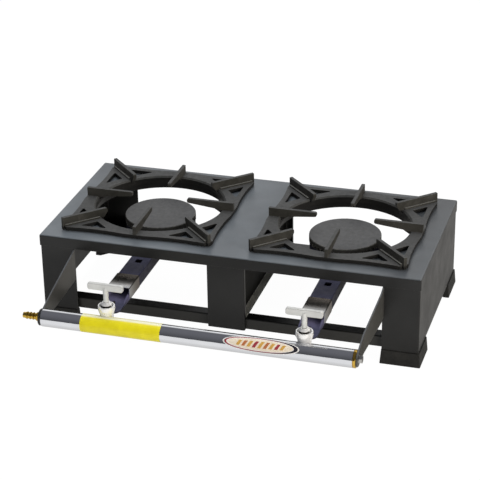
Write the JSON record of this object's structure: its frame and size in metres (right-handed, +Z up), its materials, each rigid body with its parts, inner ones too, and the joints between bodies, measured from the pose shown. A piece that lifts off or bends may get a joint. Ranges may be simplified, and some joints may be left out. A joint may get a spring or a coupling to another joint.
{
  "type": "portable two-burner gas stove",
  "caption": "Low sheet-steel gas stove with cast pan grates over round burners, slotted air shutters, T-handle taps on a chrome supply pipe in front, and a hose barb at its end.",
  "frame": {"origin": "on the table, under the middle of the whole stove including the gas pipe", "axes": "+X to the stove's right seen from the front, -Y to the front where the gas pipe is, +Z up"},
  "size_m": [0.7554, 0.5396, 0.209],
  "materials": {
    "black_enamel": "semi-gloss black baked paint",
    "foot_rubber": "matte",
    "cast_iron": "sand-cast, matte black",
    "tap_chrome": "bright plated",
    "handle_metal": "satin cast",
    "brass": "turned",
    "zinc_steel": "zinc plated",
    "pipe_chrome": "polished",
    "black_nut": "black oxide"
  },
  "bodies": {
    "stove": {"burner_bar_left": "black_enamel", "burner_bar_right": "black_enamel", "burner_body_left": "cast_iron", "burner_body_right": "cast_iron", "burner_bolts": "zinc_steel", "centre_channel": "black_enamel", "centre_post_front": "black_enamel", "centre_post_rear": "black_enamel", "foot_front_left": "foot_rubber", "foot_front_right": "foot_rubber", "foot_rear_left": "foot_rubber", "foot_rear_right": "foot_rubber", "gas_pipe": "pipe_chrome", "gland_nut_left": "tap_chrome", "gland_nut_right": "tap_chrome", "hose_barb": "brass", "injector_left": "brass", "injector_right": "brass", "inlet_lock_nut": "black_nut", "lower_rail_front": "black_enamel", "lower_rail_rear": "black_enamel", "pipe_arm_left": "black_enamel", "pipe_arm_right": "black_enamel", "pipe_plug": "brass", "plug_bolt": "zinc_steel", "plug_washer": "zinc_steel", "shutter_screws": "zinc_steel", "side_panel_left": "black_enamel", "side_panel_right": "black_enamel", "tap_body_left": "tap_chrome", "tap_body_right": "tap_chrome", "top_plate": "black_enamel"},
    "tap_left": {"tap_spindle_left": "brass", "tap_handle_left": "handle_metal", "handle_pin_left": "zinc_steel"},
    "tap_right": {"tap_spindle_right": "brass", "tap_handle_right": "handle_metal", "handle_pin_right": "zinc_steel"},
    "shutter_left": {"air_shutter_left": "zinc_steel"},
    "shutter_right": {"air_shutter_right": "zinc_steel"},
    "cap_left": {"burner_cap_left": "cast_iron"},
    "cap_right": {"burner_cap_right": "cast_iron"},
    "grate_left": {"grate_left": "cast_iron"},
    "grate_right": {"grate_right": "cast_iron"}
  },
  "joints": [
    {"name": "tap_turn_left", "type": "hinge", "parent": "stove", "child": "tap_left", "pos_m": [-0.1852, -0.23785, 0.15], "axis": [0, 0, 1], "range_deg": [0, 90]},
    {"name": "shutter_slide_left", "type": "slide", "parent": "stove", "child": "shutter_left", "axis": [0, -1, 0], "range_m": [0, 0.015]},
    {"name": "cap_lift_left", "type": "slide", "parent": "stove", "child": "cap_left", "axis": [0, 0, 1], "range_m": [0, 0.02]},
    {"name": "grate_lift_left", "type": "slide", "parent": "stove", "child": "grate_left", "axis": [0, 0, 1], "range_m": [0, 0.06]},
    {"name": "tap_turn_right", "type": "hinge", "parent": "stove", "child": "tap_right", "pos_m": [0.1928, -0.23785, 0.15], "axis": [0, 0, 1], "range_deg": [0, 90]},
    {"name": "shutter_slide_right", "type": "slide", "parent": "stove", "child": "shutter_right", "axis": [0, -1, 0], "range_m": [0, 0.015]},
    {"name": "cap_lift_right", "type": "slide", "parent": "stove", "child": "cap_right", "axis": [0, 0, 1], "range_m": [0, 0.02]},
    {"name": "grate_lift_right", "type": "slide", "parent": "stove", "child": "grate_right", "axis": [0, 0, 1], "range_m": [0, 0.06]}
  ]
}
